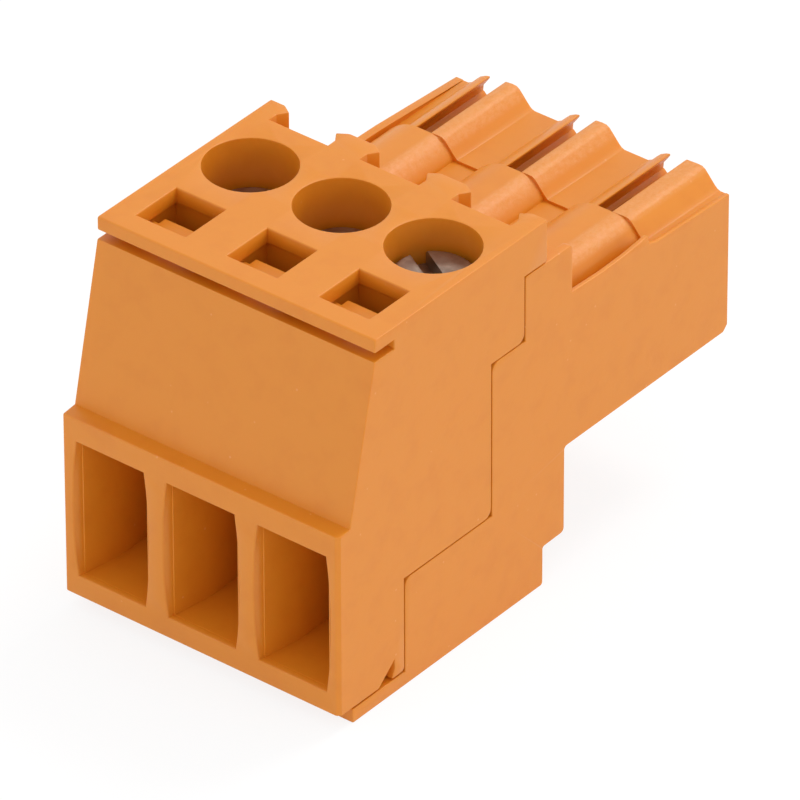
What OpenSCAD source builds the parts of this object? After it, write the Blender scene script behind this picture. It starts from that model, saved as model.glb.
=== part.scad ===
// Pluggable terminal block, three poles: wires enter from the front face, a
// screw clamp holds each one, and the socket end at the rear goes onto a
// header's pins. Millimetres, +Z up, +Y towards the socket end.

/* [Whole block] */
// Distance from one pole to the next
pitch = 3.5; // [3.4:0.05:3.8]
// Housing left over beyond the outer poles' half pitch, each side
end_margin = 0.05; // [0.02:0.01:0.3]
// Overall length, wire face to socket face
block_length = 18.96; // [18.2:0.02:20]
// Overall height, base plate to top plate
block_height = 13.2; // [12.9:0.05:14]

/* [Front housing] */
// Underside of the front housing above the base plate's underside
front_bottom_z = 0.56; // [0.5:0.02:0.8]
// Height of the wire face
wire_face_z = 7.04; // [6.8:0.02:7.6]
// Depth of the small ledge on top of the wire face
ledge_depth = 0.55; // [0.4:0.05:0.8]
// Where the sloped face ends, behind the wire face
slope_top_y = 1.74; // [1.5:0.02:2]
// Height at which the sloped face ends
slope_top_z = 12.42; // [12:0.02:12.5]
// Thickness of the top plate
plate_thickness = 0.47; // [0.4:0.01:0.6]
// Depth of the groove under the top plate's front edge
groove_end_y = 2.68; // [2.4:0.02:2.9]
// Rear edge of the top plate between the ears
plate_rear_y = 9.06; // [9:0.02:9.2]
// How far the ears reach past that edge
ear_length = 0.9; // [0.6:0.02:1.1]
// Width of an ear where it leaves the plate
ear_root_width = 1.24; // [1:0.02:1.4]
// Width of an ear where it is widest
ear_tip_width = 1.7; // [1.4:0.02:1.8]
// How far behind the plate's edge an ear is widest
ear_tip_y = 0.67; // [0.5:0.01:0.8]
// Bevel on the upright front corner at the right
corner_bevel = 0.12; // [0.05:0.01:0.3]

/* [Wire openings] */
// Width of an opening at its corners
opening_width = 2.62; // [2.5:0.02:2.8]
// Extra half width where its sides bow outwards
opening_bow = 0.17; // [0.05:0.01:0.2]
// Lower edge of an opening
opening_low_z = 1.29; // [1.2:0.01:1.5]
// Upper edge of an opening
opening_high_z = 6.21; // [6:0.01:6.4]
// Depth of the scoop behind a bowed side
scoop_depth = 0.24; // [0.1:0.01:0.3]
// Depth of the lead-in funnel
funnel_depth = 1.45; // [1.2:0.05:2]
// How far the funnel's floor rises
funnel_rise = 0.17; // [0.1:0.01:0.4]
// How far the funnel's ceiling falls
funnel_fall = 0.1; // [0.05:0.01:0.3]
// Depth of the tall pocket that carries on behind the funnel
pocket_depth = 2.95; // [2.8:0.05:3.2]
// Width of the wire channel behind the funnel
channel_width = 1.74; // [1.6:0.02:1.9]

/* [Screw wells and probe holes] */
// Distance of the screw axis from the wire face
screw_y = 6.77; // [6.6:0.01:6.9]
// Diameter of a screw well
well_diameter = 2.96; // [2.8:0.02:3.1]
// Side of the square probe hole, across
probe_width = 1.9; // [1.7:0.01:2.1]
// Side of the square probe hole, along
probe_length = 1.88; // [1.7:0.01:2]
// Front edge of the probe hole behind the wire face
probe_y = 2.56; // [2.45:0.01:2.7]
// Ledge left along the front side of the probe hole
probe_ledge = 1.2; // [1:0.02:1.3]
// Depth of the probe hole's collar, above the wider cavity
probe_collar = 0.56; // [0.45:0.01:0.65]
// Height of the ledge above the front wall's slope
probe_ledge_rise = 0.08; // [0.02:0.01:0.15]
// Wider cavity under the collar, added at the sides and behind
probe_undercut = 0.16; // [0.05:0.01:0.3]
// Depth of the probe hole under the top
probe_depth = 4.2; // [3:0.1:4.6]

/* [Clamp] */
// Width of a clamp yoke
yoke_width = 2.64; // [2.5:0.02:2.7]
// Length of a clamp yoke along the wire
yoke_length = 3; // [2.6:0.05:3.1]
// Thickness of its side straps
yoke_side = 0.33; // [0.25:0.01:0.4]
// Thickness of its bottom strap
yoke_bottom = 0.6; // [0.5:0.05:0.7]
// Thickness of its threaded top strap
yoke_top = 0.95; // [0.8:0.05:1.1]
// Height of the wire window with the clamp open
wire_window = 2.7; // [2.4:0.05:2.8]
// Outer diameter of the screw thread
screw_diameter = 1.96; // [1.8:0.02:2.1]
// Diameter of the screw head
head_diameter = 2.68; // [2.5:0.02:2.8]
// Thickness of the screw head
head_thickness = 0.95; // [0.8:0.05:1.1]
// Depth of the screwdriver slot
slot_depth = 0.5; // [0.4:0.05:0.6]
// Width of the screwdriver slot
slot_width = 0.52; // [0.4:0.02:0.6]
// How far the third screw stands backed out
backed_out = 0.6; // [0.4:0.05:0.8]
// Air between a moving clamp part and what it moves in
running_gap = 0.06; // [0.04:0.01:0.08]

/* [Contacts] */
// Thickness of the current bar
bar_thickness = 0.5; // [0.4:0.02:0.6]
// Width of the current bar
bar_width = 1.7; // [1.5:0.02:1.8]
// Thickness of the sheet the socket is folded from
sheet = 0.36; // [0.3:0.01:0.4]
// Outer width of the socket's folded root
socket_width = 2.36; // [2.2:0.02:2.4]
// Height of the socket's leaves
leaf_height = 1.9; // [1.6:0.05:2.1]
// Air between the two leaves where they grip the pin
leaf_gap = 0.7; // [0.5:0.05:0.9]
// Square mouth for the header's pin
mouth_width = 1.7; // [1.5:0.02:1.9]
// Fit of a contact in its chamber, each side
contact_fit = 0.04; // [0.02:0.01:0.06]

/* [Rear housing] */
// Thickness of the base plate under the front housing
base_thickness = 0.5; // [0.4:0.02:0.55]
// Front end of the base plate
base_front_y = 0.65; // [0.5:0.05:0.9]
// Rear end of the base plate
base_rear_y = 9.83; // [9.6:0.02:10]
// Step above the base plate's rear end
heel_z = 1.38; // [1.2:0.02:1.6]
// Where the plug part starts
plug_front_y = 10.87; // [10.7:0.02:11]
// Underside of the plug part
plug_bottom_z = 4.5; // [4.3:0.02:4.6]
// Valley between the humps on top of the plug
valley_z = 9.45; // [9.35:0.01:9.6]
// Height of the humps above the valley
hump_rise = 0.62; // [0.5:0.01:0.7]
// How far the channels in front of the valleys lie lower
channel_drop = 0.06; // [0.04:0.01:0.2]
// Width of a coding slot between the fin's tip and the ridge
slot_open = 0.6; // [0.5:0.02:0.66]
// Depth of a coding slot under the ridge
coding_depth = 0.8; // [0.7:0.02:0.85]
// Front end of the coding slots and of the valleys
slot_front_y = 15.25; // [15:0.05:15.6]
// Rear edge of the high block behind the top plate
block_rear_y = 10.72; // [10.6:0.02:10.8]
// Rear edge of the shoulder on the right side wall
shoulder_y = 11.2; // [11:0.02:11.3]
// Thickness of the shoulder's wall and of the left side wall
skirt = 0.3; // [0.2:0.02:0.34]
// Thickness of the thin rail beside the last hump
rail = 0.16; // [0.12:0.02:0.2]
// Extra width of the last hump towards the rail
last_hump_extra = 0.18; // [0:0.02:0.24]
// Air in the seam between the two housings
seam_gap = 0.03; // [0.02:0.01:0.06]

/* [Hidden] */
half_w = 1.5 * pitch + end_margin;
poles = [-pitch, 0, pitch];
eps = 0.01;
plate_z = block_height - plate_thickness;
// seam between the housings, as steps seen from the side
seam_y = [3.15, 7.33, 8.92, 10.04];
seam_z = [3.88, 9.38, 11.68];
seam_r = 0.3;
// clamp heights: the open window starts level with the funnel's inner end
window_low = opening_low_z + funnel_rise;
yoke_low = window_low - yoke_bottom;
bar_low = window_low + wire_window;
bar_high = bar_low + bar_thickness;
strap_low = bar_high + 0.15;
strap_high = strap_low + yoke_top;
yoke_travel = wire_window - 0.7;
// clamp chamber
cham_w = yoke_width + 2 * running_gap;
cham_y0 = screw_y - yoke_length / 2 - running_gap;
cham_y1 = screw_y + yoke_length / 2 + running_gap;
cham_z0 = yoke_low - 0.02;
cham_z1 = strap_high + yoke_travel + 0.4;
// screw
head_low = block_height - 1.6 - head_thickness;
well_floor = head_low - 0.12;
tip_z = bar_high + 0.01;
neck_d = screw_diameter + 2 * running_gap;
probe_floor = block_height - probe_depth;
ledge_z = slope_top_z + probe_ledge_rise;
// socket chamber in the plug
sock_z = 5.15;
sock_w = socket_width + 2 * contact_fit;
sock_h = sheet + leaf_height + 2 * contact_fit;
sock_y0 = base_rear_y + 0.5;
sock_y1 = block_length - 1.1;
sock_top = sock_z + sock_h;
pin_z = sock_z + contact_fit + sheet + leaf_height / 2;
slot_floor_z = valley_z + hump_rise - coding_depth;

// ---- rounding of polygon corners -----------------------------------------
function unit(v) = v / norm(v);
function arc_at(p, a, b, r, n) =
  r < 0.005 ? [p] :
  let (u = unit(a - p), v = unit(b - p), w = acos(u * v), t = r / tan(w / 2),
       c = p + unit(u + v) * r / sin(w / 2), s = p + u * t - c, e = p + v * t - c,
       a0 = atan2(s[1], s[0]), d0 = atan2(e[1], e[0]) - a0,
       d = d0 > 180 ? d0 - 360 : d0 < -180 ? d0 + 360 : d0)
  [for (i = [0:n]) c + r * [cos(a0 + d * i / n), sin(a0 + d * i / n)]];
function soft(q, n = 4) = [for (i = [0:len(q) - 1])
  each arc_at([q[i][0], q[i][1]],
              [q[(i + len(q) - 1) % len(q)][0], q[(i + len(q) - 1) % len(q)][1]],
              [q[(i + 1) % len(q)][0], q[(i + 1) % len(q)][1]],
              len(q[i]) > 2 ? q[i][2] : 0, n)];

// outline drawn in (y, z) and run across the block from x0 to x1
module across(x0, x1, q) {
  translate([x0, 0, 0]) rotate([90, 0, 90]) linear_extrude(x1 - x0) polygon(soft(q));
}
// outline drawn in (x, z) and run along the block from y0 to y1
module along(y0, y1, q) {
  translate([0, y1, 0]) rotate([90, 0, 0]) linear_extrude(y1 - y0) polygon(soft(q));
}
module box(x0, x1, y0, y1, z0, z1) {
  translate([x0, y0, z0]) cube([x1 - x0, y1 - y0, z1 - z0]);
}
// everything is drawn from the wire face backwards, then centred
module placed() {
  translate([0, -block_length / 2, 0]) children();
}

// ---- shared cavities -------------------------------------------------------
module clamp_chamber(c) {
  box(c - cham_w / 2, c + cham_w / 2, cham_y0, cham_y1, cham_z0, cham_z1);
}
module screw_neck(c) {
  translate([c, screw_y, cham_z1 - eps]) cylinder(d = neck_d, h = block_height - cham_z1, $fn = 64);
}
module wire_channel(c) {
  box(c - channel_width / 2, c + channel_width / 2, funnel_depth - 0.05, cham_y0 + eps,
      window_low, bar_low - 0.05);
  box(c - channel_width / 2, c + channel_width / 2, funnel_depth - 0.05, pocket_depth,
      window_low, opening_high_z - funnel_fall);
}
// the socket's own chamber, reached from the clamp chamber by the bar's passage
module contact_passage(c) {
  box(c - bar_width / 2 - contact_fit, c + bar_width / 2 + contact_fit,
      cham_y1 - eps, sock_y0 + eps, bar_low - contact_fit, sock_z + sheet + 2 * contact_fit);
}

// ---- front housing ---------------------------------------------------------
module opening(c) {
  m = opening_width / 2;
  zm = (opening_low_z + opening_high_z) / 2;
  hh = (opening_high_z - opening_low_z) / 2;
  n = 8;
  side = [for (i = [0:n]) let (t = 2 * i / n - 1) [m + opening_bow * (1 - t * t), zm + hh * t]];
  // the bowed rim, scooped out to the flat sides behind it
  hull() {
    translate([c, 0, 0]) along(-0.02, 0, concat(side, [for (i = [n:-1:0]) [-side[i][0], side[i][1]]]));
    box(c - m + 0.04, c + m - 0.04, scoop_depth - eps, scoop_depth, opening_low_z + 0.02, opening_high_z);
  }
  hull() {
    box(c - m, c + m, -0.02, 0, opening_low_z, opening_high_z);
    box(c - channel_width / 2, c + channel_width / 2, funnel_depth - eps, funnel_depth,
        window_low, opening_high_z - funnel_fall);
  }
}

// a square hole with a collar, over a ledge and a deeper cavity behind it
module probe_hole(c) {
  left = c - probe_width / 2;
  right = c + probe_width / 2;
  rear = probe_y + probe_length;
  box(left, right, probe_y, rear, ledge_z, block_height + 1);
  box(left - probe_undercut, right + probe_undercut, probe_y, rear + probe_undercut,
      ledge_z, block_height - probe_collar);
  box(left - probe_undercut, right + probe_undercut, probe_y + probe_ledge, rear + probe_undercut,
      probe_floor, ledge_z + eps);
  box(left - probe_undercut, left + 0.12, probe_y + probe_ledge - 0.3, rear, probe_floor, ledge_z + eps);
}

module ear(c) {
  a = ear_root_width / 2;
  b = ear_tip_width / 2;
  translate([c, 0, seam_z[2] + seam_gap]) linear_extrude(block_height - seam_z[2] - seam_gap)
    polygon(soft([
      [-a, plate_rear_y - 0.3], [-a, plate_rear_y + 0.34, 0.06], [-b, plate_rear_y + ear_tip_y, 0.04],
      [0.35 - b, plate_rear_y + ear_length, 0.2], [b - 0.35, plate_rear_y + ear_length, 0.2],
      [b, plate_rear_y + ear_tip_y, 0.04], [a, plate_rear_y + 0.34, 0.06], [a, plate_rear_y - 0.3]]));
}

module front_housing() color("#e8974a") placed() {
  difference() {
    union() {
      across(-half_w, half_w, [
        [0, front_bottom_z], [0, wire_face_z, 0.06], [ledge_depth, wire_face_z + 0.06],
        [slope_top_y, slope_top_z], [groove_end_y, slope_top_z], [groove_end_y, plate_z],
        [slope_top_y + 0.02, plate_z], [slope_top_y + 0.02, block_height, 0.08],
        [plate_rear_y, block_height], [plate_rear_y, seam_z[2] + seam_gap],
        [seam_y[2] - seam_gap, seam_z[2] + seam_gap],
        [seam_y[2] - seam_gap, seam_z[1] + seam_gap, seam_r],
        [seam_y[1] - seam_gap, seam_z[1] + seam_gap],
        [seam_y[1] - seam_gap, seam_z[0] + seam_gap, seam_r],
        [seam_y[0] - seam_gap, seam_z[0] + seam_gap],
        [seam_y[0] - seam_gap, front_bottom_z, 0.15]]);
      intersection() {
        union() for (k = [-1.5, -0.5, 0.5, 1.5]) ear(k * pitch);
        box(-half_w, half_w, 0, block_length, 0, block_height);
      }
    }
    translate([half_w, 0, 0]) rotate([0, 0, 45])
      translate([-corner_bevel / sqrt(2), -corner_bevel / sqrt(2), -1])
        cube([corner_bevel * sqrt(2), corner_bevel * sqrt(2), block_height + 2]);
    for (c = poles) {
      opening(c);
      wire_channel(c);
      clamp_chamber(c);
      translate([c, screw_y, well_floor]) cylinder(d = well_diameter, h = block_height, $fn = 96);
      screw_neck(c);
      probe_hole(c);
    }
    // relief at the foot of the side, where the front wall meets the base plate
    for (s = [-1, 1]) translate([s * half_w, 0, 0]) rotate([90, 0, 90]) translate([0, 0, -0.25])
      linear_extrude(0.5) polygon([[1.84, front_bottom_z - 0.05], [2.64, 1.19], [2.66, 0.9], [2.5, front_bottom_z - 0.05]]);
  }
}

// ---- rear housing ----------------------------------------------------------
module hump_outline_front(c) {
  z = valley_z;
  r = hump_rise;
  w = c > pitch / 2 ? last_hump_extra : 0;
  translate([c, 0, 0]) along(block_rear_y - 0.3, slot_front_y, [
    [-1.66, z - 0.6], [-1.6, z - channel_drop], [-1.5, z + 0.04], [-1.38, z + 0.28 * r], [-1.18, z + 0.54 * r],
    [-0.94, z + 0.78 * r], [-0.68, z + 0.94 * r], [-0.4, z + r], [0.2 + w, z + r], [0.42 + w, z + 0.95 * r],
    [0.6 + w, z + 0.8 * r], [0.76 + w, z + 0.56 * r], [0.9 + w, z + 0.3 * r], [1 + w, z + 0.06 * r],
    [1.02 + w, z - channel_drop], [1.02 + w, z - 0.6]]);
}
module hump_outline_rear(c) {
  z = valley_z;
  r = hump_rise;
  w = c > pitch / 2 ? last_hump_extra : 0;
  translate([c, 0, 0]) along(slot_front_y, block_length, [
    [-1.4, z - 0.8], [-1.32, z], [-1.15, z + 0.14 * r], [-0.96, z + 0.46 * r], [-0.82, z + 0.68 * r],
    [-0.62, z + 0.85 * r], [-0.44, z + 0.93 * r], [0.14, z + r], [0.4 + w, z + 1.04 * r], [0.58 + w, z + 1.02 * r],
    [0.7 + w, z + 0.9 * r], [0.84 + w, z + 0.65 * r], [0.97 + w, z + 0.4 * r], [1.08 + w, z + 0.2 * r],
    [1.17 + w, z + 0.07 * r], [1.28 + w, z], [1.3 + w, z - 0.8]]);
}
module coding_slot(c) {
  t = valley_z + hump_rise;
  lip = 0.14 - slot_open;
  translate([c, 0, 0]) along(slot_front_y, block_length + 1, [
    [lip, t + 0.4], [lip, t - 0.12], [-0.7, t - 0.46], [-0.72, slot_floor_z + 0.12], [-0.6, slot_floor_z],
    [0.08, slot_floor_z, 0.04], [0.14, slot_floor_z + 0.08], [0.14, t + 0.4]]);
  box(c - 0.6, c + 0.08, slot_front_y + 0.1, slot_front_y + 1.94, sock_top - eps, slot_floor_z + 0.2);
}

module rear_housing() color("#e2914a") placed() {
  difference() {
    union() {
      across(-half_w, half_w, [
        [base_front_y, 0], [base_rear_y, 0, 0.1], [base_rear_y, heel_z, 0.08],
        [plug_front_y, heel_z + 0.02, 0.15], [plug_front_y, plug_bottom_z, 0.12],
        [block_length - 0.2, plug_bottom_z], [block_length, plug_bottom_z + 0.2],
        [block_length, valley_z, 0.04], [slot_front_y, valley_z + 0.03],
        [slot_front_y, valley_z - channel_drop], [block_rear_y, valley_z - channel_drop],
        [block_rear_y, seam_z[2]],
        [seam_y[2], seam_z[2], 0.1], [seam_y[2], seam_z[1]], [seam_y[1], seam_z[1], seam_r],
        [seam_y[1], seam_z[0]], [seam_y[0], seam_z[0], seam_r], [seam_y[0], base_thickness],
        [base_front_y, base_thickness, 0.05]]);
      intersection() {
        union() for (c = poles) {
          hump_outline_front(c);
          hump_outline_rear(c);
        }
        box(-half_w, half_w, 0, block_length, 0, block_height);
      }
      // side walls beside the outer humps, the right one with its shoulder
      across(half_w - skirt, half_w, [
        [block_rear_y - 0.5, valley_z - 1], [block_rear_y - 0.5, seam_z[2]], [shoulder_y, seam_z[2], 0.16],
        [shoulder_y, valley_z - 1]]);
      across(half_w - rail, half_w, [
        [shoulder_y - 0.5, valley_z - 1], [shoulder_y - 0.5, valley_z + 0.52],
        [shoulder_y + 0.03, valley_z + 0.52], [12.6, valley_z + 0.46], [13.7, valley_z + 0.48],
        [14.4, valley_z + 0.54], [14.9, valley_z + 0.6], [14.95, valley_z + 0.3],
        [slot_front_y + 0.1, valley_z + 0.16], [block_length, valley_z + 0.02], [block_length, valley_z - 1]]);
      across(-half_w, skirt - half_w, [
        [block_rear_y - 0.5, valley_z - 1], [block_rear_y - 0.5, valley_z + 0.36],
        [slot_front_y - 0.3, valley_z + 0.26], [block_length, valley_z + 0.02], [block_length, valley_z - 1]]);
    }
    for (c = poles) {
      wire_channel(c);
      clamp_chamber(c);
      screw_neck(c);
      contact_passage(c);
      box(c - sock_w / 2, c + sock_w / 2, sock_y0, sock_y1, sock_z, sock_top);
      box(c - mouth_width / 2, c + mouth_width / 2, sock_y1 - eps, block_length + 1,
          pin_z - mouth_width / 2, pin_z + mouth_width / 2);
      coding_slot(c);
    }
  }
}

// ---- clamp screws ----------------------------------------------------------
module clamp_screw(c, lift, turn) color("#8c8078") placed()
  translate([c, screw_y, lift]) {
    difference() {
      rotate_extrude($fn = 96) polygon([
        [0, tip_z], [screw_diameter / 2 - 0.2, tip_z], [screw_diameter / 2, tip_z + 0.2],
        [screw_diameter / 2, head_low], [head_diameter / 2, head_low],
        [head_diameter / 2, head_low + head_thickness - 0.12],
        [head_diameter / 2 - 0.12, head_low + head_thickness], [0, head_low + head_thickness]]);
      translate([0, 0, head_low + head_thickness - slot_depth]) rotate([0, 0, turn])
        translate([-head_diameter, -slot_width / 2, 0]) cube([2 * head_diameter, slot_width, 2]);
    }
  }
module clamp_screw_1() clamp_screw(poles[0], 0, 20);
module clamp_screw_2() clamp_screw(poles[1], 0, 48);
module clamp_screw_3() clamp_screw(poles[2], backed_out, -30);

// ---- clamp yokes -----------------------------------------------------------
module clamp_yoke(c) color("#a9a39b") placed() difference() {
  box(c - yoke_width / 2, c + yoke_width / 2, screw_y - yoke_length / 2, screw_y + yoke_length / 2,
      yoke_low, strap_high);
  box(c - yoke_width / 2 + yoke_side, c + yoke_width / 2 - yoke_side,
      screw_y - yoke_length, screw_y + yoke_length, window_low, strap_low);
  translate([c, screw_y, strap_low - 1]) cylinder(d = screw_diameter + running_gap, h = yoke_top + 2, $fn = 64);
}
module clamp_yoke_1() clamp_yoke(poles[0]);
module clamp_yoke_2() clamp_yoke(poles[1]);
module clamp_yoke_3() clamp_yoke(poles[2]);

// ---- contacts --------------------------------------------------------------
module contact(c) color("#c8c2b8") placed() {
  y0 = sock_y0 + contact_fit;
  z0 = sock_z + contact_fit;
  root = y0 + 1.6;
  grip = sock_y1 - 1.4;
  tip = sock_y1 - 0.2;
  w = socket_width / 2;
  g = leaf_gap / 2;
  translate([c, 0, 0]) {
    // current bar, stepped up into the plug
    across(-bar_width / 2, bar_width / 2, [
      [screw_y - yoke_length / 2 + 0.1, bar_low], [cham_y1 + 0.5, bar_low], [y0 + 0.1, z0],
      [root, z0], [root, z0 + sheet], [y0 - 0.1, z0 + sheet], [cham_y1 + 0.3, bar_high],
      [screw_y - yoke_length / 2 + 0.1, bar_high]]);
    box(-w, w, y0, root, z0, z0 + sheet);
    // folded walls running on as two leaves that grip the pin
    for (s = [-1, 1]) translate([0, 0, z0]) linear_extrude(sheet + leaf_height) polygon([
      [s * w, y0], [s * w, root], [s * (g + sheet), grip], [s * (g + sheet + 0.24), tip],
      [s * (g + 0.24), tip], [s * g, grip], [s * (w - sheet), root], [s * (w - sheet), y0]]);
  }
}
module contact_1() contact(poles[0]);
module contact_2() contact(poles[1]);
module contact_3() contact(poles[2]);

front_housing();
rear_housing();
clamp_screw_1();
clamp_screw_2();
clamp_screw_3();
clamp_yoke_1();
clamp_yoke_2();
clamp_yoke_3();
contact_1();
contact_2();
contact_3();
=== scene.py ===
# %% [markdown]
# A pluggable terminal block in Blender: two orange mouldings, slotted clamp screws, lift clamps and tinned
# contacts. The CAD model comes in first as a fixed frame. Everything here dresses it: soft edges, moulded
# plastic and plated metal. The box of the whole part is kept now and printed.

# %% Load the CAD frame
import math

import bmesh
import bpy
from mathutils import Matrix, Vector


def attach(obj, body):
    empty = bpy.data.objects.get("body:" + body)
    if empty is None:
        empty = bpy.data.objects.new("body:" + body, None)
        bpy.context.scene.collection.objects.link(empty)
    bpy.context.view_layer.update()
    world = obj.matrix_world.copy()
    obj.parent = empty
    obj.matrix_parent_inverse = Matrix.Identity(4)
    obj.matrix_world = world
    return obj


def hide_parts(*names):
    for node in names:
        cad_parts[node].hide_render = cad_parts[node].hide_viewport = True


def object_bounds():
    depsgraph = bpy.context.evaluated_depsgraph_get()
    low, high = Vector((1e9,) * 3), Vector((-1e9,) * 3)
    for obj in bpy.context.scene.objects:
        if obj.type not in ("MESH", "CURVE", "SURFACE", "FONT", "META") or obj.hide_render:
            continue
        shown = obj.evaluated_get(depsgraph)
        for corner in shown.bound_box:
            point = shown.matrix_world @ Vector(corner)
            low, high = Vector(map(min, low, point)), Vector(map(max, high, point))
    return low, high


MM = 0.001


def plain(box):
    """A box's two corners as plain numbers, which json can write."""
    return [[float(v) for v in corner] for corner in box]


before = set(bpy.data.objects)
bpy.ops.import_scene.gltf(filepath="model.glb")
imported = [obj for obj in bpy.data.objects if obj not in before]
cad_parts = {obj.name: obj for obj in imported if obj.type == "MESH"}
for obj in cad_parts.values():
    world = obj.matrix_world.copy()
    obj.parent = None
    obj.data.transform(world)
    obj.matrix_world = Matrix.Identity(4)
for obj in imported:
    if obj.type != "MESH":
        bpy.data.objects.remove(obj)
cad_box = plain(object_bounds())
print("CAD box", cad_box)

# %% [markdown]
# The camera comes before the pieces. It stands to the right of the wire face and above it, and looks
# through a very long lens, so the block's parallel edges stay almost parallel, as on a product picture
# taken from far off.

# %% Camera
AZIMUTH, ELEVATION, ROLL = 38.717, 34.393, -0.132
EYE_FROM_WIRE_FACE = (188.887, -226.090, 211.398)
LENS, SENSOR = 543.06, 36
front_y = cad_box[0][1]
eye = Vector(EYE_FROM_WIRE_FACE) * MM + Vector((0, front_y, 0))
az, el, roll = (math.radians(a) for a in (AZIMUTH, ELEVATION, ROLL))
look = Vector((-math.sin(az) * math.cos(el), math.cos(az) * math.cos(el), -math.sin(el)))
right = Vector((math.cos(az), math.sin(az), 0))
up = right.cross(look)
right, up = (right * math.cos(roll) + up * math.sin(roll),
             up * math.cos(roll) - right * math.sin(roll))
camera = bpy.data.objects.new("camera", bpy.data.cameras.new("camera"))
camera.data.sensor_width = SENSOR
camera.data.lens = LENS
camera.data.clip_start = 0.02
camera.data.clip_end = 20
stand = camera.matrix_world.copy()
for column, axis in enumerate((right, up, -look, eye)):
    for row in range(3):
        stand[row][column] = axis[row]
camera.matrix_world = stand
bpy.context.scene.collection.objects.link(camera)
bpy.context.scene.camera = camera
print("camera at", [round(v, 4) for v in eye], "lens", camera.data.lens)

# %% [markdown]
# Colours are written as the hex values that paint and web colours use, and the shaders work in linear
# light, so one function turns one into the other. A second small function adds a shader node, sets its
# values and joins it up.

# %% Colour and node helpers
def linear(code):
    """An sRGB hex colour as linear red, green, blue and alpha."""
    parts = [int(code[i:i + 2], 16) / 255 for i in (1, 3, 5)]
    return tuple(p / 12.92 if p <= 0.04045 else ((p + 0.055) / 1.055) ** 2.4 for p in parts) + (1.0,)


def add(tree, kind, settings=None, **links):
    """Adds one node; links name its inputs, as a value or as another node's output socket."""
    node = tree.nodes.new("ShaderNode" + kind)
    for key, value in (settings or {}).items():
        setattr(node, key, value)
    for key, value in links.items():
        name = key.replace("_", " ")
        socket = node.inputs[int(name[1:])] if name[0] == "i" and name[1:].isdigit() else node.inputs[name]
        if isinstance(value, bpy.types.NodeSocket):
            tree.links.new(value, socket)
        else:
            socket.default_value = value
    return node


def ramp(tree, factor, stops):
    """A colour ramp from (position, hex or grey) stops."""
    node = add(tree, "ValToRGB", Fac=factor)
    elements = node.color_ramp.elements
    while len(elements) < len(stops):
        elements.new(0.5)
    for element, (position, value) in zip(elements, stops):
        element.position = position
        element.color = linear(value) if isinstance(value, str) else (value, value, value, 1)
    return node.outputs["Color"]


def millimetres(tree):
    """The object's own coordinates, scaled so that patterns are sized in millimetres."""
    place = add(tree, "TexCoord").outputs["Object"]
    return add(tree, "VectorMath", {"operation": "SCALE"}, Vector=place, Scale=1 / MM).outputs["Vector"]


def new_material(name):
    """An empty node material, its tree and its output node."""
    material = bpy.data.materials.new(name)
    material.use_nodes = True
    tree = material.node_tree
    tree.nodes.clear()
    out = add(tree, "OutputMaterial")
    return material, tree, out


print("mid grey in linear light", [round(v, 3) for v in linear("#808080")[:3]])

# %% [markdown]
# The housings are orange thermoplastic, taken to be PBT, a polyester used for connectors. Moulded against
# smooth steel it has a soft satin gloss, a faint waviness about a millimetre wide, a grain of about a tenth
# and tiny pale specks. Light goes a little way into it, and with the deep base colour this lets recesses
# glow orange-red. On the crests of the plug the mould has left a rough band that reads paler. It is
# placed from the position across each pole, so it repeats exactly with the pitch.

# %% Moulded PBT
PITCH = 3.5
CREST_X = 0.55                # middle of the rough band, beside each pole's axis
BAND = ((0.30, 1.0), (0.42, 0.0))
ABOVE_VALLEYS = (9.6, 9.8)    # heights between which the band starts
BELOW_PLATE = (10.2, 10.4)    # heights between which it ends
BEHIND_BLOCK = (1.4, 1.8)     # places along the block between which it starts


def fade(tree, value, start, end, low=0.0, high=1.0):
    """Goes from low to high while the value goes from start to end."""
    return add(tree, "MapRange", Value=value, i1=start, i2=end, i3=low, i4=high).outputs[0]


def crest_band(tree, mm):
    """1 on the rough band along the crest of each hump, 0 elsewhere."""
    axes = add(tree, "SeparateXYZ", Vector=mm)
    shifted = add(tree, "Math", {"operation": "SUBTRACT"}, i0=axes.outputs["X"], i1=CREST_X).outputs[0]
    across = add(tree, "Math", {"operation": "PINGPONG"}, i0=shifted, i1=PITCH / 2).outputs[0]
    band = ramp(tree, across, BAND)
    limits = (fade(tree, axes.outputs["Z"], *ABOVE_VALLEYS),
              fade(tree, axes.outputs["Y"], *BEHIND_BLOCK),
              fade(tree, axes.outputs["Z"], *BELOW_PLATE, 1.0, 0.0))
    for limit in limits:
        band = add(tree, "Math", {"operation": "MULTIPLY"}, i0=band, i1=limit).outputs[0]
    return band


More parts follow.
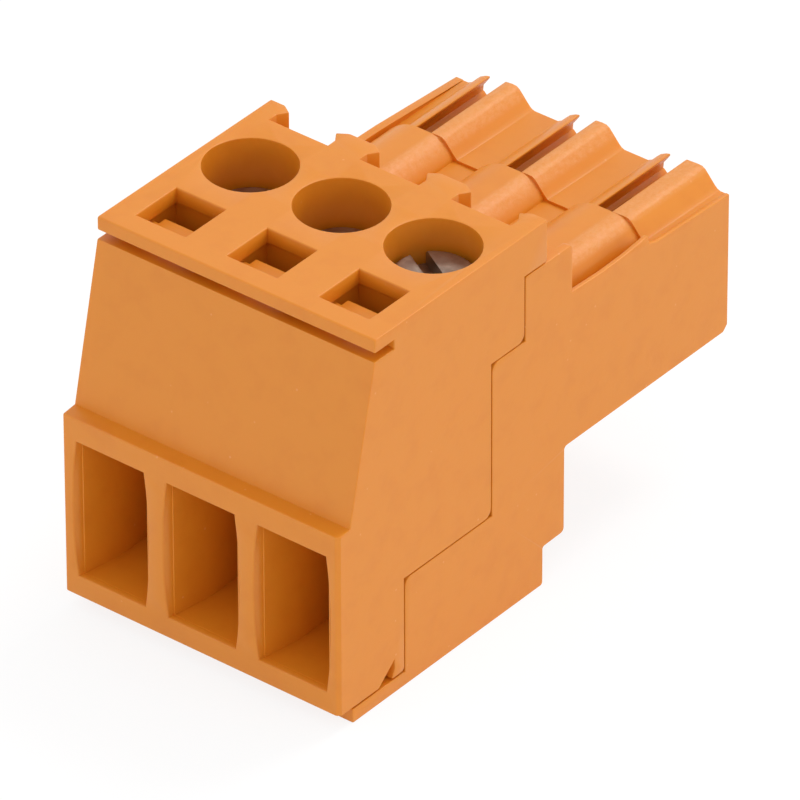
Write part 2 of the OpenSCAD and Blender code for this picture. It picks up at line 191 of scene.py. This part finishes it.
def moulded_pbt(name, body, deep, pale, rough_crests):
    material, tree, out = new_material(name)
    mm = millimetres(tree)
    waves = add(tree, "TexNoise", Vector=mm, Scale=1.1, Detail=3.0, Roughness=0.55).outputs["Fac"]
    grain = add(tree, "TexNoise", Vector=mm, Scale=9.0, Detail=4.0, Roughness=0.6).outputs["Fac"]
    specks = add(tree, "TexVoronoi", Vector=mm, Scale=1.3).outputs["Distance"]
    colour = ramp(tree, waves, [(0.30, deep), (0.52, body)])
    dots = ramp(tree, specks, [(0.035, 1.0), (0.06, 0.0)])
    colour = add(tree, "Mix", {"data_type": "RGBA"}, Factor=dots, i6=colour, i7=linear(pale)).outputs[2]
    height = add(tree, "Math", {"operation": "MULTIPLY_ADD"}, i0=grain, i1=0.35, i2=waves).outputs[0]
    if rough_crests:
        crest = crest_band(tree, mm)
        stretched = add(tree, "VectorMath", {"operation": "MULTIPLY"}, i0=mm, i1=(1.0, 0.8, 1.0)).outputs[0]
        scuffs = add(tree, "TexNoise", Vector=stretched, Scale=6.5, Detail=8.0, Roughness=0.75).outputs["Fac"]
        patches = ramp(tree, scuffs, [(0.36, 0.15), (0.62, 1.0)])
        cover = add(tree, "Math", {"operation": "MULTIPLY"}, i0=crest, i1=patches).outputs[0]
        colour = add(tree, "Mix", {"data_type": "RGBA"}, Factor=cover, i6=colour, i7=linear(pale)).outputs[2]
        lumps = add(tree, "Math", {"operation": "MULTIPLY"}, i0=crest, i1=scuffs).outputs[0]
        height = add(tree, "Math", {"operation": "MULTIPLY_ADD"}, i0=lumps, i1=2.2, i2=height).outputs[0]
    bump = add(tree, "Bump", Strength=0.22, Distance=0.00004, Height=height).outputs["Normal"]
    skin = add(tree, "BsdfPrincipled", Base_Color=colour, Roughness=0.42, IOR=1.5, Normal=bump)
    skin.subsurface_method = "RANDOM_WALK"
    skin.inputs["Subsurface Weight"].default_value = 0.12
    skin.inputs["Subsurface Radius"].default_value = (1.0, 0.35, 0.12)
    skin.inputs["Subsurface Scale"].default_value = 0.0006
    tree.links.new(skin.outputs[0], out.inputs["Surface"])
    return material


ORANGE, ORANGE_DEEP, ORANGE_PALE = "#DC8419", "#D98016", "#E2934A"
pbt_front = moulded_pbt("moulded_pbt", ORANGE, ORANGE_DEEP, ORANGE_PALE, False)
pbt_rear = moulded_pbt("moulded_pbt_eroded_crests", ORANGE, ORANGE_DEEP, ORANGE_PALE, True)
# Paler plastic for the housings' bevels: partly a thin pale flash, partly a painted highlight along the
# edges.
pbt_flash_and_highlight = moulded_pbt("moulded_pbt_flash_and_painted_highlight", "#F8BE68", "#F3B055", "#FFD795", False)
print("plastic", [m.name for m in (pbt_front, pbt_rear, pbt_flash_and_highlight)])

# %% [markdown]
# The screws and yokes are zinc-plated steel: grey, dull from the plating bath, with a fine uneven grain.
# Their base colours carry a slight brown cast, a painted reflection of the orange walls of the wells they sit
# in. The contacts are tinned copper alloy, brighter and softer looking. A metal's colour comes from its
# reflection, so the base colour is the colour at normal sight and the metallic value is full.

# %% Plated metals
def plated(name, tone, worn, roughness, grain_mm):
    material, tree, out = new_material(name)
    mm = millimetres(tree)
    cloud = add(tree, "TexNoise", Vector=mm, Scale=1.8, Detail=5.0, Roughness=0.6).outputs["Fac"]
    marks = add(tree, "TexNoise", Vector=mm, Scale=1 / grain_mm, Detail=6.0, Roughness=0.7).outputs["Fac"]
    colour = ramp(tree, cloud, [(0.35, tone), (0.66, worn)])
    bump = add(tree, "Bump", Strength=0.35, Distance=0.00003, Height=marks).outputs["Normal"]
    rough = fade(tree, cloud, 0.3, 0.7, roughness, roughness + 0.14)
    skin = add(tree, "BsdfPrincipled", Base_Color=colour, Metallic=1.0, Roughness=rough, Normal=bump)
    tree.links.new(skin.outputs[0], out.inputs["Surface"])
    return material


# The slight brown cast of these two greys is a painted reflection of the orange wells.
zinc = plated("zinc_plated_steel", "#9A9088", "#B3A89C", 0.34, 0.12)
zinc_yoke = plated("zinc_plated_sheet", "#A49D95", "#BDB5AA", 0.38, 0.2)
tinned = plated("tinned_copper_alloy", "#BDB6AA", "#D0C9BC", 0.28, 0.25)
print("metals", [m.name for m in (zinc, zinc_yoke, tinned)])

# %% [markdown]
# A real edge is never sharp: a mould's edge leaves a rounding of a few hundredths of a millimetre, often
# with a thin pale flash, and it is this that catches the light. A CAD solid's edges are perfectly sharp, so
# each CAD node gets a softened copy. Pairs of triangles are joined into four-sided faces, which keeps the
# long curved crests evenly shaded. The outward edges are then bevelled, and on the housings the bevels get a
# paler plastic: partly the thin pale flash, partly a painted highlight along the edges. The inward ones stay
# crisp, as a mould leaves them. A few edges stay sharp too: those of the thin bowed rims and of the slots,
# where a bevel would fold over itself.

# %% Softened copies of the CAD nodes
CREASE, CRISP = math.radians(28), math.radians(35)


def softened(node, name, body, skin, edge, width_mm, leave=None):
    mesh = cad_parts[node].data.copy()
    mesh.name = name
    bm = bmesh.new()
    bm.from_mesh(mesh)
    bmesh.ops.remove_doubles(bm, verts=bm.verts, dist=2e-7)
    bmesh.ops.join_triangles(bm, faces=bm.faces, angle_face_threshold=math.radians(0.4),
                             angle_shape_threshold=math.radians(60))
    outward = []
    for e in bm.edges:
        e.smooth = True
        if not e.is_manifold or e.calc_face_angle(0.0) <= CREASE:
            continue
        middle = (e.verts[0].co + e.verts[1].co) / (2 * MM) - Vector((0, front_y / MM, 0))
        if e.is_convex and not (leave and leave(*middle)):
            outward.append(e)
        else:
            e.smooth = False
    # The bevel faces take the second material, on the housings the paler plastic with its painted highlight.
    bmesh.ops.bevel(bm, geom=outward, offset=width_mm * MM, offset_type="OFFSET", segments=2, profile=0.5,
                    affect="EDGES", clamp_overlap=False, loop_slide=False, material=1)
    bmesh.ops.dissolve_degenerate(bm, dist=1e-7, edges=bm.edges)
    for e in bm.edges:
        if e.is_manifold and e.calc_face_angle(0.0) > CRISP:
            e.smooth = False
    for f in bm.faces:
        f.smooth = True
    bm.to_mesh(mesh)
    bm.free()
    mesh.materials.clear()
    mesh.materials.append(skin)
    mesh.materials.append(edge)
    piece = bpy.data.objects.new(name, mesh)
    bpy.context.scene.collection.objects.link(piece)
    even = piece.modifiers.new("even", "WEIGHTED_NORMAL")
    even.keep_sharp = True
    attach(piece, body)
    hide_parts(node)
    print(name, "edges softened", len(outward), "faces", len(mesh.polygons))

# %% [markdown]
# Each node gets its own width: the housings a little more than the turned screws and the formed contacts,
# and the yokes the most, since punched and folded sheet has the roundest edges. Two tests name the edges
# that stay sharp, in millimetres behind the wire face and above the base.

# %% Dress every node
SLOT_FRONT = 15.25            # front end of the coding slots


def in_opening(x, y, z):
    """Edges inside the wire openings, behind their rims."""
    return 0.04 < y < 2 and 0.8 < z < 6.6


def at_slot(x, y, z):
    """Edges across the front end of the slots, and round the holes in their floors."""
    across_front = abs(y - SLOT_FRONT) < 0.02 and z > 9.3
    round_hole = 8.5 < z < 9.4 and y > 15 and abs(x) < 5.2
    return across_front or round_hole


softened("front_housing", "front_moulding", "block", pbt_front, pbt_flash_and_highlight, 0.045, in_opening)
softened("rear_housing", "rear_moulding", "block", pbt_rear, pbt_flash_and_highlight, 0.04, at_slot)
for n in (1, 2, 3):
    softened(f"clamp_screw_{n}", f"screw_{n}_finish", f"screw_{n}", zinc, zinc, 0.03)
    softened(f"clamp_yoke_{n}", f"yoke_{n}_finish", f"yoke_{n}", zinc_yoke, zinc_yoke, 0.06)
    softened(f"contact_{n}", f"contact_{n}_finish", "block", tinned, tinned, 0.03)

# %% [markdown]
# The stage is a plain white floor under a white studio, as on a product sheet. Rays that look, from the
# camera or off a gloss, see it as white, and the floor keeps a share of its real shading, so the block's
# shadow stays faintly on it. The light itself is a plain, even dome, as in a light tent, with a small lamp
# above and behind for the top, one at the right side and a weak one low at the front. The white behind the
# block adds nothing to the light on it.

# %% Floor, world and lamps
FLOOR_HALF = 1.5              # half the floor's side, in metres
SHADOW_SHARE = 0.2            # share of the floor's real shading that is still seen
WHITE = (1, 1, 1, 1)
BRIGHT = 1.05                 # just above white, so the background has no grey
LAMPS_AIM = Vector((0, 0, 6 * MM))


def sees_white(tree):
    """1 for rays from the camera, off a gloss or through a clear part; 0 for the light that falls."""
    path = add(tree, "LightPath")
    looks = path.outputs["Is Camera Ray"]
    for kind in ("Is Glossy Ray", "Is Transmission Ray"):
        looks = add(tree, "Math", {"operation": "MAXIMUM"}, i0=looks, i1=path.outputs[kind]).outputs[0]
    return looks


floor_mesh = bpy.data.meshes.new("floor")
bm = bmesh.new()
bmesh.ops.create_grid(bm, x_segments=1, y_segments=1, size=FLOOR_HALF)
bm.to_mesh(floor_mesh)
bm.free()
floor = bpy.data.objects.new("floor", floor_mesh)
bpy.context.scene.collection.objects.link(floor)
white, tree, out = new_material("white_floor")
seen = add(tree, "Math", {"operation": "MULTIPLY"}, i0=sees_white(tree), i1=1 - SHADOW_SHARE).outputs[0]
paper = add(tree, "BsdfDiffuse", Color=(0.88, 0.88, 0.88, 1)).outputs[0]
glow = add(tree, "Emission", Color=WHITE, Strength=BRIGHT).outputs[0]
tree.links.new(add(tree, "MixShader", Fac=seen, i1=paper, i2=glow).outputs[0], out.inputs["Surface"])
floor_mesh.materials.append(white)

world = bpy.data.worlds.new("white_studio")
bpy.context.scene.world = world
world.use_nodes = True
tree = world.node_tree
tree.nodes.clear()
soft = add(tree, "Background", Color=(0.97, 0.99, 1, 1), Strength=0.86).outputs[0]
plain_white = add(tree, "Background", Color=WHITE, Strength=BRIGHT).outputs[0]
tree.links.new(add(tree, "MixShader", Fac=sees_white(tree), i1=soft, i2=plain_white).outputs[0],
               add(tree, "OutputWorld").inputs["Surface"])


def lamp(name, place_mm, size_mm, watts):
    """A round soft lamp that faces the middle of the block."""
    light = bpy.data.lights.new(name, "AREA")
    light.shape = "DISK"
    light.size = size_mm * MM
    light.energy = watts
    holder = bpy.data.objects.new(name, light)
    holder.location = Vector(place_mm) * MM
    holder.rotation_euler = (LAMPS_AIM - holder.location).to_track_quat("-Z", "Y").to_euler()
    bpy.context.scene.collection.objects.link(holder)


lamp("key_above", (30, 170, 270), 110, 0.32)
lamp("side_right", (300, 60, 110), 120, 0.15)
lamp("front_low", (-120, -260, 50), 120, 0.07)

# %% [markdown]
# Last, the view transform.

# %% Finish
bpy.context.scene.view_settings.view_transform = "Standard"
